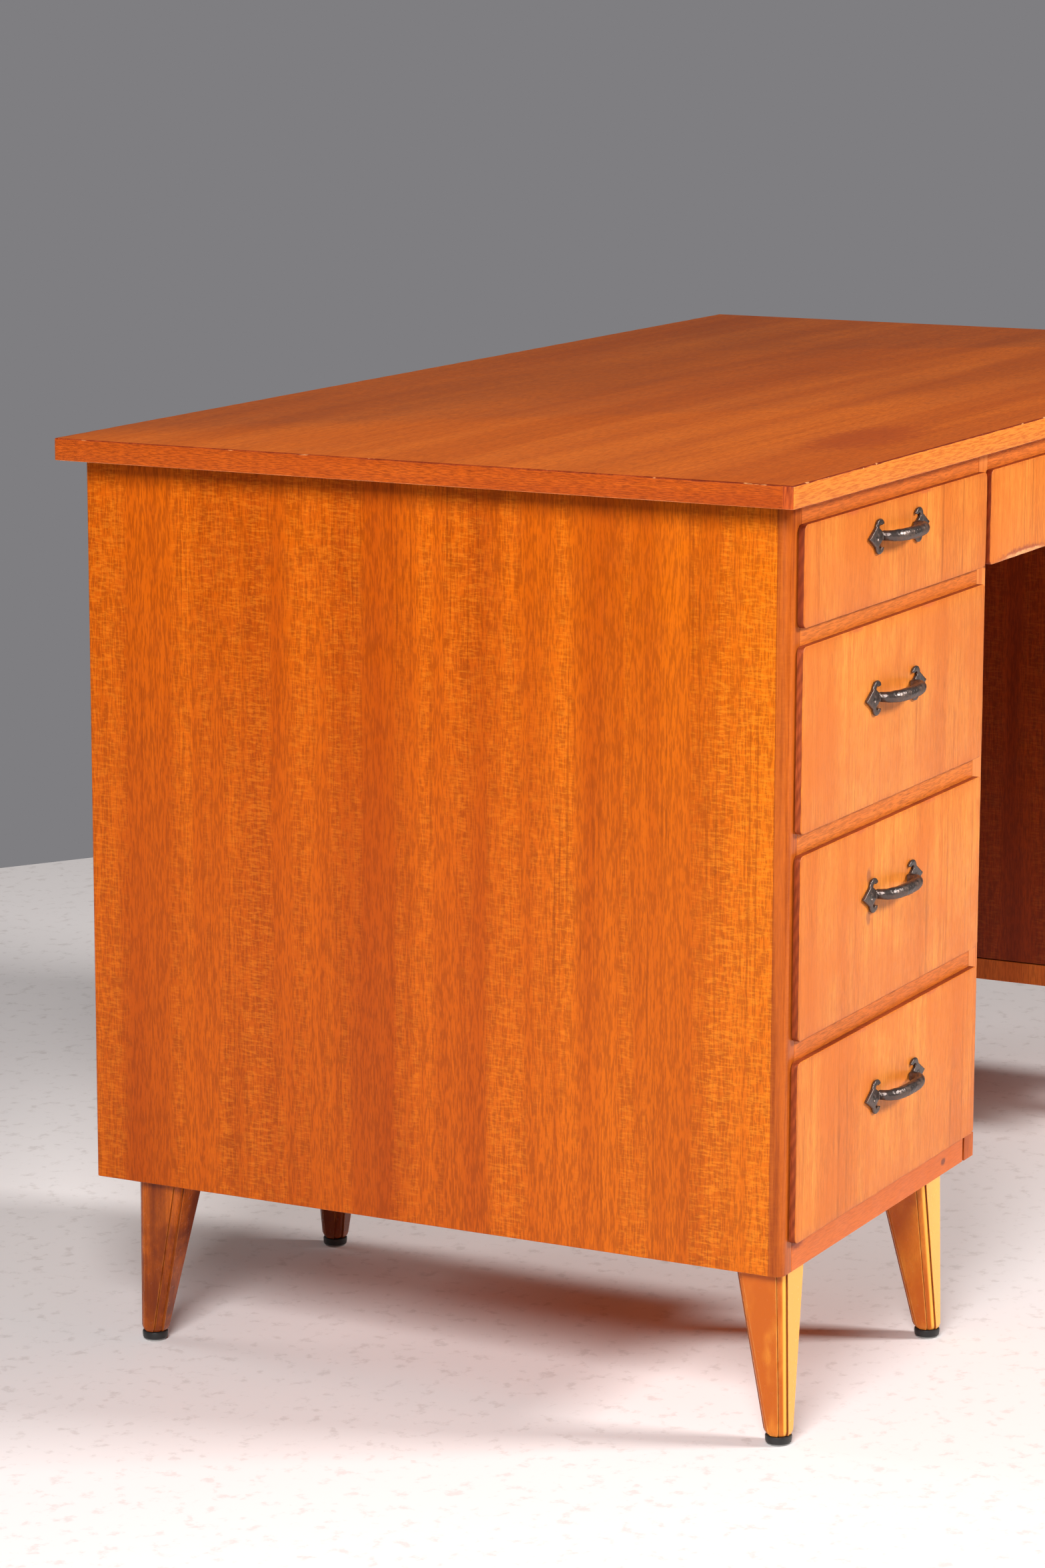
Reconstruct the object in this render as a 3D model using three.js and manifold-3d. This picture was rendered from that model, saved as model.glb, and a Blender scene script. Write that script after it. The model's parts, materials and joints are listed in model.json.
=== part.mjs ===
// Writing desk: a plain top on two unequal pedestals, four drawers at the left, one over the
// kneehole and a narrow cupboard at the right. Millimetres, +Z up, front towards -Y.
// Everything is laid out from the top's front left corner (x to the right, y to the back, z from
// the floor), and the finished group is shifted so that its box is centred over the origin.

import * as THREE from 'three';
import { mergeVertices } from 'three/addons/utils/BufferGeometryUtils.js';
import Module from 'manifold-3d';

const wasm = await Module();
wasm.setup();

// ---- driving dimensions ----
const HEIGHT = 760;
const TOP_LENGTH = 1275;
const TOP_DEPTH = 650;
const TOP_THICKNESS = 18;
const SIDE_OVERHANG = 28;      // top past the outer sides
const FRONT_SETBACK = 14;      // pedestal frame behind the top's front edge
const BACK_SETBACK = 12;
const UNDERSIDE = 140;         // pedestal underside above the floor
const LEFT_WIDTH = 399;
const RIGHT_WIDTH = 215;
const OUTER_SIDE = 19;         // board thicknesses
const INNER_SIDE = 20;
const BOTTOM_BOARD = 20.5;
const RAIL = 20;
const BACK_PANEL = 6;
const CORNER_RADIUS = 8;       // rounded front edge of each outer side
const GAP = 0.3;               // between pieces that touch

// fronts: a lip laid over the frame, with a thicker board inside the opening
const LIP_PROUD = 6;
const LIP_OVER_OUTER = 6.5;    // lip over the outer side's edge
const LIP_OVER_INNER = 5;
const LIP_CORNER = 5;
const INNER_BOARD = 14;
const FRONT_CLEARANCE = 1.5;
const RAIL_OVERLAP = 4;        // rail standing behind the edge of the front next to it
const FRONT_HEIGHTS = [79, 145, 145.5, 144.5];   // from the top drawer down
const FRONT_GAPS = [14, 16.5, 16.5];             // rail showing under each of the first three
const TOP_RAIL_SHOWS = 16.5;

const DRAWER_SIDE = 10;
const DRAWER_BACK_AT = 590;
const CENTRE_DRAWER_BACK_AT = 560;
const DRAWER_BOTTOM = 4;
const BOTTOM_GROOVE = 6;       // drawer bottom above the lower edge of its sides
const BOX_ABOVE_RUNNER = 0.8;
const BOX_BELOW_RAIL = 9;
const CENTRE_BOX_BELOW_RAIL = 6;
const RUNNER_WIDTH = 22;
const CENTRE_RUNNER = { width: 14, height: 12, aboveFront: 3 };
const RAIL_END_SLOT = 3.5;     // bottom rail stops short of the inner side

const LEG_TOP = 44;
const LEG_FOOT = 21;
const LEG_RAKE = 2.8;          // front legs lean forward
const LEG_MOULDING = 7;        // bead and its step, at the top
const FOOT_MOULDING = 6.2;
const LEG_STEP = 1.4;
const CAP_HEIGHT = 7.7;
const CAP_RADIUS = 10.7;
const CAP_TAPER = 0.6;
const LEG_IN_SIDE = 8;         // leg's outer face inside the outer side's face
const LEG_IN_FRONT = 1;
const LEG_IN_INNER = 64;
const LEG_IN_BACK = 33;

const HANDLE_REACH = 21;       // past the front's face
const HANDLE_HALF = 61;
const GRIP_ROOT = 33;          // from the handle's middle to where the grip leaves its plate
const PLATE_THICKNESS = 2.5;
const GRIP_RADIUS = 4.7;
const CURL = { out: 38.5, up: 9.6, radius: 4.2 };
// each handle was screwed on by eye: right of and above the middle of its front
const HANDLE_OFF_MIDDLE = [[-5.5, 14], [-6, 12.5], [-5.5, 16], [7, 10.5]];
const CENTRE_HANDLE_UP = 14;

const SHELF = 15;
const SHELF_SETBACK = 12;      // behind the door
const MODESTY = { height: 300, thickness: 15, setback: 13 };
const DOOR_CLEARANCE = 2;
const DOOR_HANDLE = { in: 28, down: 200 };       // from the door's edge and from its top
const HINGE_RADIUS = 3;
const HINGE_LENGTH = 50;
const HINGE_FROM_END = 60;
const HINGE_CLEAR = 0.5;

// ---- levels and lines worked out from them ----
const topUnder = HEIGHT - TOP_THICKNESS;
const frameFront = FRONT_SETBACK;
const frameBack = TOP_DEPTH - BACK_SETBACK;
const faceY = frameFront - LIP_PROUD;
const innerBoardBack = frameFront + INNER_BOARD;
const left = { outer: SIDE_OVERHANG, inner: SIDE_OVERHANG + LEFT_WIDTH };
const right = { outer: TOP_LENGTH - SIDE_OVERHANG, inner: TOP_LENGTH - SIDE_OVERHANG - RIGHT_WIDTH };
const leftOpening = [left.outer + OUTER_SIDE, left.inner - INNER_SIDE];
const rightOpening = [right.inner + INNER_SIDE, right.outer - OUTER_SIDE];
const backPanelFront = frameBack - 2 - BACK_PANEL;

const group = new THREE.Group();
const finishes = {
  top: new THREE.MeshStandardMaterial({ color: 0xb5642c, roughness: 0.38 }),
  side: new THREE.MeshStandardMaterial({ color: 0xc4611c, roughness: 0.45 }),
  front: new THREE.MeshStandardMaterial({ color: 0xe08a48, roughness: 0.45 }),
  rail: new THREE.MeshStandardMaterial({ color: 0xd8873c, roughness: 0.5 }),
  inside: new THREE.MeshStandardMaterial({ color: 0xd9b98a, roughness: 0.65 }),
  leg: new THREE.MeshStandardMaterial({ color: 0xc9862e, roughness: 0.35 }),
  cap: new THREE.MeshStandardMaterial({ color: 0x161616, roughness: 0.55 }),
  iron: new THREE.MeshStandardMaterial({ color: 0x3a322e, roughness: 0.5, metalness: 0.85 }),
  brass: new THREE.MeshStandardMaterial({ color: 0x9a7a40, roughness: 0.35, metalness: 1 }),
};

function add(name, geometry, finish) {
  const mesh = new THREE.Mesh(geometry, finishes[finish]);
  mesh.name = name;
  group.add(mesh);
  return mesh;
}

// ---- shapes ----
function board([x0, x1], [y0, y1], [z0, z1]) {
  const box = new THREE.BoxGeometry(x1 - x0, y1 - y0, z1 - z0);
  return box.translate((x0 + x1) / 2, (y0 + y1) / 2, (z0 + z1) / 2);
}

function outline(points) {
  return new THREE.Shape(points.map(([x, y]) => new THREE.Vector2(x, y)));
}

// A plan outline in x, y stood up from z0 to z1.
function upright(shape, [z0, z1], curveSegments = 6) {
  const solid = new THREE.ExtrudeGeometry(shape, { depth: z1 - z0, bevelEnabled: false, curveSegments });
  return solid.translate(0, 0, z0);
}

// A front outline in x, z carried back from y0 to y1.
function carriedBack(shape, [y0, y1], curveSegments = 4) {
  const solid = new THREE.ExtrudeGeometry(shape, { depth: y1 - y0, bevelEnabled: false, curveSegments });
  return solid.rotateX(Math.PI / 2).translate(0, y1, 0);
}

function roundedRectangle([x0, x1], [z0, z1], r) {
  const s = new THREE.Shape();
  s.moveTo(x0 + r, z0).lineTo(x1 - r, z0).absarc(x1 - r, z0 + r, r, -Math.PI / 2, 0, false);
  s.lineTo(x1, z1 - r).absarc(x1 - r, z1 - r, r, 0, Math.PI / 2, false);
  s.lineTo(x0 + r, z1).absarc(x0 + r, z1 - r, r, Math.PI / 2, Math.PI, false);
  s.lineTo(x0, z0 + r).absarc(x0 + r, z0 + r, r, Math.PI, Math.PI * 1.5, false);
  return s;
}

function toManifold(geometry) {
  const bare = geometry.clone();
  bare.deleteAttribute('normal');
  bare.deleteAttribute('uv');
  const merged = mergeVertices(bare, 1e-4);
  return new wasm.Manifold(new wasm.Mesh({
    numProp: 3,
    vertProperties: new Float32Array(merged.attributes.position.array),
    triVerts: new Uint32Array(merged.index.array),
  }));
}

function fromManifold(solid) {
  const mesh = solid.getMesh();
  const geometry = new THREE.BufferGeometry();
  geometry.setAttribute('position', new THREE.BufferAttribute(new Float32Array(mesh.vertProperties), 3));
  geometry.setIndex(Array.from(mesh.triVerts));
  geometry.computeVertexNormals();
  return geometry;
}

function joined(...geometries) {
  return fromManifold(geometries.map(toManifold).reduce((a, b) => a.add(b)));
}

// What a geometry and a space around it have in common.
function kept(geometry, space) {
  return fromManifold(toManifold(geometry).intersect(toManifold(space)));
}

// ---- top ----
add('desk_top', board([0, TOP_LENGTH], [0, TOP_DEPTH], [topUnder, HEIGHT]), 'top');

// ---- carcass boards ----
function outerSide(name, face, inward) {
  const inside = face + inward * OUTER_SIDE;
  const s = new THREE.Shape();
  s.moveTo(inside, frameFront).lineTo(inside, frameBack).lineTo(face, frameBack);
  s.lineTo(face, frameFront + CORNER_RADIUS);
  const start = inward > 0 ? Math.PI : 0;
  s.absarc(face + inward * CORNER_RADIUS, frameFront + CORNER_RADIUS, CORNER_RADIUS,
    start, -Math.PI / 2, inward < 0);
  add(name, upright(s, [UNDERSIDE, topUnder - GAP]), 'side');
}

function innerSide(name, face, inward) {
  const xs = [face, face + inward * INNER_SIDE].sort((a, b) => a - b);
  add(name, board(xs, [frameFront, frameBack], [UNDERSIDE + BOTTOM_BOARD + 1, topUnder - GAP]), 'side');
}

outerSide('left_outer_side', left.outer, 1);
innerSide('left_inner_side', left.inner, -1);
innerSide('right_inner_side', right.inner, 1);
outerSide('right_outer_side', right.outer, -1);

// drawer front levels, from the top drawer down: [low, high] of each lip
const fronts = [];
let level = topUnder - TOP_RAIL_SHOWS;
FRONT_HEIGHTS.forEach((height, i) => {
  fronts.push([level - height, level]);
  level -= height + (FRONT_GAPS[i] ?? 0);
});
const railMiddles = FRONT_GAPS.map((gap, i) => fronts[i][0] - gap / 2);
const topRailLow = topUnder - TOP_RAIL_SHOWS - RAIL_OVERLAP;
const bottomRailHigh = level + RAIL_OVERLAP;
// [low, high] of the opening behind each front
const openings = fronts.map((_, i) => [
  i < 3 ? railMiddles[i] + RAIL / 2 : bottomRailHigh,
  i > 0 ? railMiddles[i - 1] - RAIL / 2 : topRailLow,
]);

const between = ([a, b], clearance = GAP) => [a + clearance, b - clearance];
const railDepth = [frameFront, frameFront + RAIL];

// bottom boards: the inner side stands on a tongue of the board that runs to the front,
// and two strips on the board carry the lowest drawer
const boardTop = UNDERSIDE + BOTTOM_BOARD;
const leftBoard = upright(outline([
  [leftOpening[0] + GAP, railDepth[1] + GAP], [leftOpening[1], railDepth[1] + GAP],
  [leftOpening[1], frameFront], [left.inner, frameFront],
  [left.inner, frameBack], [leftOpening[0] + GAP, frameBack],
]), [UNDERSIDE, boardTop]);
const stripY = [railDepth[1] + GAP, backPanelFront - GAP];
const stripZ = [boardTop - 1, bottomRailHigh];
add('left_bottom_board', joined(
  leftBoard,
  board([leftOpening[0] + GAP, leftOpening[0] + RUNNER_WIDTH], stripY, stripZ),
  board([leftOpening[1] - RUNNER_WIDTH, leftOpening[1] - GAP], stripY, stripZ),
), 'rail');
add('left_bottom_rail', board(
  [leftOpening[0] + GAP, leftOpening[1] - RAIL_END_SLOT], railDepth, [UNDERSIDE, bottomRailHigh],
), 'rail');
add('right_bottom_board', board(
  [right.inner, rightOpening[1] - GAP], [frameFront, frameBack], [UNDERSIDE, boardTop],
), 'rail');

// top rails
const topRailZ = [topRailLow, topUnder - GAP];
add('left_top_rail', board(between(leftOpening), railDepth, topRailZ), 'rail');
add('kneehole_top_rail', board(between([left.inner, right.inner]), railDepth, topRailZ), 'rail');
add('right_top_rail', board(between(rightOpening), railDepth, topRailZ), 'rail');

// front rails with the side runners that carry a drawer, one frame above each lower drawer
railMiddles.forEach((middle, i) => {
  const [x0, x1] = between(leftOpening);
  const [y0, y1] = [frameFront, backPanelFront - GAP];
  const frame = outline([
    [x0, y0], [x1, y0], [x1, y1], [x1 - RUNNER_WIDTH, y1], [x1 - RUNNER_WIDTH, y0 + RAIL],
    [x0 + RUNNER_WIDTH, y0 + RAIL], [x0 + RUNNER_WIDTH, y1], [x0, y1],
  ]);
  add(`left_runner_frame_${i + 1}`, upright(frame, [middle - RAIL / 2, middle + RAIL / 2]), 'rail');
});

// back panels, shelf, modesty panel and the centre drawer's runners
const backY = [backPanelFront, backPanelFront + BACK_PANEL];
const backZ = [boardTop + GAP, topUnder - GAP];
add('left_back_panel', board(between(leftOpening), backY, backZ), 'inside');
add('right_back_panel', board(between(rightOpening), backY, backZ), 'inside');
const shelfZ = (boardTop + topUnder) / 2;
add('cupboard_shelf', board(
  between(rightOpening), [innerBoardBack + SHELF_SETBACK, backPanelFront - GAP], [shelfZ, shelfZ + SHELF],
), 'inside');
const kneehole = between([left.inner, right.inner]);
const modestyBack = frameBack - MODESTY.setback;
add('modesty_panel', board(
  kneehole, [modestyBack - MODESTY.thickness, modestyBack],
  [topUnder - GAP - MODESTY.height, topUnder - GAP],
), 'side');
const centreRunnerLow = fronts[0][0] + CENTRE_RUNNER.aboveFront;
const centreRunnerZ = [centreRunnerLow, centreRunnerLow + CENTRE_RUNNER.height];
const centreRunnerY = [innerBoardBack + 1, DRAWER_BACK_AT];
for (const [side, x0] of [['left', kneehole[0]], ['right', kneehole[1] - CENTRE_RUNNER.width]]) {
  add(`centre_runner_${side}`, board([x0, x0 + CENTRE_RUNNER.width], centreRunnerY, centreRunnerZ), 'rail');
}

// ---- handle: spear-ended plates with curled barbs, and a bowed round grip ----
function handle(name, [cx, cz], upEnd = false) {
  const plates = [-1, 1].flatMap((side) => {
    const spear = outline([
      [side * HANDLE_HALF, 0], [side * 47, 8], [side * 41, 7], [side * 35, 4],
      [side * 35, -4], [side * 41, -7], [side * 47, -8],
    ]);
    const curls = [-1, 1].map((up) => {
      const curl = new THREE.Shape();
      curl.absarc(side * CURL.out, up * CURL.up, CURL.radius, 0, Math.PI * 2, false);
      return carriedBack(curl, [-PLATE_THICKNESS, 0], 8);
    });
    return [carriedBack(spear, [-PLATE_THICKNESS, 0]), ...curls];
  });
  const root = PLATE_THICKNESS / 2;
  const bow = HANDLE_REACH - GAP - GRIP_RADIUS - root;
  const path = new THREE.CatmullRomCurve3(Array.from({ length: 13 }, (_, i) => {
    const a = Math.PI * i / 12;
    return new THREE.Vector3(-GRIP_ROOT * Math.cos(a), -root - bow * Math.sin(a), 0);
  }));
  const section = new THREE.Shape().absarc(0, 0, GRIP_RADIUS, 0, Math.PI * 2, false);
  const grip = new THREE.ExtrudeGeometry(section, {
    steps: 20, extrudePath: path, bevelEnabled: false, curveSegments: 5,
  });
  const flush = board([-HANDLE_HALF, HANDLE_HALF], [-HANDLE_REACH, 0], [-HANDLE_HALF, HANDLE_HALF]);
  const pull = kept(joined(...plates, grip), flush);
  if (upEnd) pull.rotateY(Math.PI / 2);
  add(name, pull.translate(cx, faceY - GAP, cz), 'iron');
}

// ---- fronts and drawers ----
function front(name, lipX, lipZ, openX, openZ) {
  const lip = carriedBack(roundedRectangle(lipX, lipZ, LIP_CORNER), [faceY, frameFront - GAP]);
  const inner = board(openX, [frameFront - GAP - 1, innerBoardBack], openZ);
  add(name, joined(lip, inner), 'front');
}

function drawer(name, { lipX, lipZ, openX, openZ, boxZ, boxBack, handleAt }) {
  const [x0, x1] = between(openX, FRONT_CLEARANCE);
  front(`${name}_front`, lipX, lipZ, [x0, x1], openZ);
  const [y0, y1] = [innerBoardBack + GAP, boxBack];
  const t = DRAWER_SIDE;
  const plan = outline([
    [x0, y0], [x0 + t, y0], [x0 + t, y1 - t], [x1 - t, y1 - t], [x1 - t, y0], [x1, y0],
    [x1, y1], [x0, y1],
  ]);
  add(`${name}_box`, upright(plan, boxZ), 'inside');
  const bottomLow = boxZ[0] + BOTTOM_GROOVE;
  add(`${name}_bottom`, board(
    [x0 + t + GAP, x1 - t - GAP], [y0, y1 - t - GAP], [bottomLow, bottomLow + DRAWER_BOTTOM],
  ), 'inside');
  const [across, up] = handleAt;
  handle(`${name}_handle`, [(lipX[0] + lipX[1]) / 2 + across, (lipZ[0] + lipZ[1]) / 2 + up]);
}

const leftLip = [leftOpening[0] - LIP_OVER_OUTER, leftOpening[1] + LIP_OVER_INNER];
fronts.forEach((lipZ, i) => drawer(`drawer_${i + 1}`, {
  lipX: leftLip,
  lipZ,
  openX: leftOpening,
  openZ: between(openings[i], FRONT_CLEARANCE),
  boxZ: [openings[i][0] + BOX_ABOVE_RUNNER, openings[i][1] - BOX_BELOW_RAIL],
  boxBack: DRAWER_BACK_AT,
  handleAt: HANDLE_OFF_MIDDLE[i],
}));

drawer('centre_drawer', {
  lipX: [left.inner - LIP_OVER_INNER, right.inner + LIP_OVER_INNER],
  lipZ: fronts[0],
  openX: [left.inner, right.inner],
  openZ: [fronts[0][0] + FRONT_CLEARANCE, topRailLow - FRONT_CLEARANCE],
  boxZ: [centreRunnerZ[1] + BOX_ABOVE_RUNNER, topRailLow - CENTRE_BOX_BELOW_RAIL],
  boxBack: CENTRE_DRAWER_BACK_AT,
  handleAt: [0, CENTRE_HANDLE_UP],
});

// ---- cupboard door ----
const doorLip = [rightOpening[0] - LIP_OVER_INNER, rightOpening[1] + LIP_OVER_OUTER];
const doorZ = [fronts[3][0], fronts[0][1]];
front('cupboard_door', doorLip, doorZ, between(rightOpening, DOOR_CLEARANCE),
  [bottomRailHigh + FRONT_CLEARANCE, topRailLow - FRONT_CLEARANCE]);
handle('door_handle', [doorLip[0] + DOOR_HANDLE.in, doorZ[1] - DOOR_HANDLE.down], true);
const hingeX = doorLip[1] + HINGE_RADIUS + HINGE_CLEAR;
const hingeY = frameFront - HINGE_RADIUS - HINGE_CLEAR;
const hingeLevels = { lower: doorZ[0] + HINGE_FROM_END, upper: doorZ[1] - HINGE_FROM_END - HINGE_LENGTH };
for (const [which, z] of Object.entries(hingeLevels)) {
  const knuckle = new THREE.CylinderGeometry(HINGE_RADIUS, HINGE_RADIUS, HINGE_LENGTH, 16);
  knuckle.rotateX(Math.PI / 2).translate(hingeX, hingeY, z + HINGE_LENGTH / 2);
  add(`door_hinge_${which}`, knuckle, 'brass');
}

// ---- legs: two faces upright, two tapered in, every corner a sunk bead ----
function beadedSquare(width, moulding, step, steps = 4) {
  const points = [];
  const corners = [[0, 0], [width, 0], [width, width], [0, width]];
  corners.forEach(([cx, cy], corner) => {
    const a = corner * Math.PI / 2;
    const turn = (x, y) => [cx + x * Math.cos(a) - y * Math.sin(a), cy + x * Math.sin(a) + y * Math.cos(a)];
    points.push(turn(0, moulding));
    for (let i = 0; i <= steps; i += 1) {
      const b = Math.PI + (i / steps) * Math.PI / 2;
      const r = moulding - step;
      points.push(turn(moulding + r * Math.cos(b), moulding + r * Math.sin(b)));
    }
    points.push(turn(moulding, 0));
  });
  return points;
}

function loft(low, lowZ, high, highZ) {
  const n = low.length;
  const position = [...low.map(([x, y]) => [x, y, lowZ]), ...high.map(([x, y]) => [x, y, highZ])].flat();
  const index = [];
  for (let i = 0; i < n; i += 1) {
    const j = (i + 1) % n;
    index.push(i, j, n + j, i, n + j, n + i);
  }
  const cap = THREE.ShapeUtils.triangulateShape(low.map(([x, y]) => new THREE.Vector2(x, y)), []);
  cap.forEach(([a, b, c]) => index.push(a, c, b, n + a, n + b, n + c));
  const geometry = new THREE.BufferGeometry();
  geometry.setAttribute('position', new THREE.Float32BufferAttribute(position, 3));
  geometry.setIndex(index);
  geometry.computeVertexNormals();
  return geometry;
}

function leg(name, [x, y], [dx, dy]) {
  const place = (points, shiftY) => {
    const placed = points.map(([u, v]) => [x + dx * u, y + dy * v + shiftY]);
    return dx * dy > 0 ? placed : placed.reverse();
  };
  const rake = dy > 0 ? -LEG_RAKE : 0;
  const foot = place(beadedSquare(LEG_FOOT, FOOT_MOULDING, LEG_STEP), rake);
  const top = place(beadedSquare(LEG_TOP, LEG_MOULDING, LEG_STEP), 0);
  add(name, loft(foot, CAP_HEIGHT + GAP, top, UNDERSIDE - GAP), 'leg');
  const cap = new THREE.CylinderGeometry(CAP_RADIUS, CAP_RADIUS - CAP_TAPER, CAP_HEIGHT, 24);
  cap.rotateX(Math.PI / 2);
  const [cx, cy] = [x + dx * LEG_FOOT / 2, y + dy * LEG_FOOT / 2 + rake];
  add(`${name}_cap`, cap.translate(cx, cy, CAP_HEIGHT / 2), 'cap');
}

const legRows = { front: [frameFront + LEG_IN_FRONT, 1], back: [frameBack - LEG_IN_BACK, -1] };
for (const [row, [y, dy]] of Object.entries(legRows)) {
  leg(`left_${row}_outer_leg`, [left.outer + LEG_IN_SIDE, y], [1, dy]);
  leg(`left_${row}_inner_leg`, [left.inner - LEG_IN_INNER, y], [-1, dy]);
  leg(`right_${row}_inner_leg`, [right.inner + LEG_IN_INNER, y], [1, dy]);
  leg(`right_${row}_outer_leg`, [right.outer - LEG_IN_SIDE, y], [-1, dy]);
}

// origin under the middle of the whole box, which runs from the handles to the top's back edge
const middle = new THREE.Box3().setFromObject(group).getCenter(new THREE.Vector3());
group.position.set(-middle.x, -middle.y, 0);

export default group;
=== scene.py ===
"""Writing desk with drawers: finishes, ironwork, legs and setting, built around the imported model.

Metres throughout. The desk's front faces -Y and its top lies across X.
"""

import json
import math

import bmesh
import bpy
from mathutils import Matrix, Vector, noise

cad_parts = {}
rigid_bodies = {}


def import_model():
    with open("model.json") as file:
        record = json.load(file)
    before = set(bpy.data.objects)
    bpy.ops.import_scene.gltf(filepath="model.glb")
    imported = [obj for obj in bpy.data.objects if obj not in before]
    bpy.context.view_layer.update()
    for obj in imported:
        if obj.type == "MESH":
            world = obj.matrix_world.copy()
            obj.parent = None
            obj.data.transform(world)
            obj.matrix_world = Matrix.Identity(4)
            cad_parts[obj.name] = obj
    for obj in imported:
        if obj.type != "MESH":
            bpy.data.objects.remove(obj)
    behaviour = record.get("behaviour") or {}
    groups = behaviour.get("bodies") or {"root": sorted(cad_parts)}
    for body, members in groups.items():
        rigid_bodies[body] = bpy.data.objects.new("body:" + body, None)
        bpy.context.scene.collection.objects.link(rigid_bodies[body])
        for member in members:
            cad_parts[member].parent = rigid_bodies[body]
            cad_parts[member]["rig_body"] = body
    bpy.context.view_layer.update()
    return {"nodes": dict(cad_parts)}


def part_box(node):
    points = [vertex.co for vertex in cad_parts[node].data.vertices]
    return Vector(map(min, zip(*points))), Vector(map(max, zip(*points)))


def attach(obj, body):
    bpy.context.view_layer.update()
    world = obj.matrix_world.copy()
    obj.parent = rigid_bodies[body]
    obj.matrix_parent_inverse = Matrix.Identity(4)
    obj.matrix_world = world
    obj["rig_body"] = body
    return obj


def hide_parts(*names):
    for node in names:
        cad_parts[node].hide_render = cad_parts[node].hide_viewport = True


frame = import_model()
nodes = frame["nodes"]

MM = 0.001
PROBE = 1 * MM                     # how far in an outline is sampled to find which way it faces
ARC_STEPS = 8                      # points on a quarter turn of an outline's corner

# ---- where things are, read from the frame ----
top_lo, top_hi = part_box("desk_top")
FRAME_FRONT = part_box("left_outer_side")[0].y        # front plane of the two pedestals
LIPPING_DEPTH = 11 * MM            # solid strip on the front edge of each outer side
END_STRIP = 9 * MM                 # thickness of the top's front lipping, seen at its ends
LIP_GAP = 0.3 * MM                 # from a front's lip to the frame behind it
DEEPEN = 0.45                      # a wood's pores and lines are this share of its dark tone


# ==== shader building ====
def linear(rgb):
    """Linear colour, with alpha, from 0 to 255 screen values."""
    def one(v):
        v /= 255
        return v / 12.92 if v <= 0.04045 else ((v + 0.055) / 1.055) ** 2.4
    return (*map(one, rgb), 1)


def add(tree, kind, inputs=None, **settings):
    """A node with its settings, its inputs set to values or linked to sockets."""
    made = tree.nodes.new(kind)
    for key, value in settings.items():
        setattr(made, key, value)
    fill(tree, made, inputs or {})
    return made


def fill(tree, made, inputs):
    """Sets a node's inputs to values or links sockets to them."""
    for key, value in inputs.items():
        if isinstance(value, bpy.types.NodeSocket):
            tree.links.new(value, made.inputs[key])
        else:
            made.inputs[key].default_value = value


def maths(tree, operation, a, b=0.0, clamp=False):
    """One arithmetic step."""
    return add(tree, "ShaderNodeMath", {0: a, 1: b}, operation=operation, use_clamp=clamp).outputs[0]


def smooth(tree, value, low, high, out_low=0.0, out_high=1.0):
    """Value carried smoothly from low..high to out_low..out_high, and held past both ends."""
    return add(tree, "ShaderNodeMapRange", {
        "Value": value, "From Min": low, "From Max": high, "To Min": out_low, "To Max": out_high,
    }, interpolation_type="SMOOTHSTEP").outputs["Result"]


def mixed(tree, amount, a, b, blend="MIX"):
    """Colour a, taken towards b by amount."""
    return add(tree, "ShaderNodeMix", {0: amount, 6: a, 7: b},
               data_type="RGBA", blend_type=blend, clamp_factor=True).outputs[2]


def stretched(tree, position, scale):
    """Position times a scale for each axis."""
    return add(tree, "ShaderNodeVectorMath", {0: position, 1: scale}, operation="MULTIPLY").outputs[0]


def cloud(tree, position, scale=(1, 1, 1), detail=2.0, roughness=0.5, distortion=0.0):
    """Noise from 0 to 1 with that many cells a metre each way."""
    return add(tree, "ShaderNodeTexNoise", {
        "Vector": stretched(tree, position, scale), "Scale": 1.0, "Detail": detail,
        "Roughness": roughness, "Distortion": distortion,
    }).outputs[0]


def new_group(name, takes, gives):
    """An empty shader node group with named inputs, with their defaults, and named outputs."""
    tree = bpy.data.node_groups.new(name, "ShaderNodeTree")
    for label, default in takes.items():
        kind = "NodeSocketVector" if isinstance(default, tuple) else "NodeSocketFloat"
        tree.interface.new_socket(label, in_out="INPUT", socket_type=kind).default_value = default
    for label in gives:
        tree.interface.new_socket(label, in_out="OUTPUT", socket_type="NodeSocketFloat")
    return tree, tree.nodes.new("NodeGroupInput").outputs, tree.nodes.new("NodeGroupOutput").inputs


def placed(tree, group, inputs):
    """One use of a node group; gives its outputs."""
    made = add(tree, "ShaderNodeGroup", node_tree=group)
    fill(tree, made, inputs)
    return made.outputs


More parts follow.
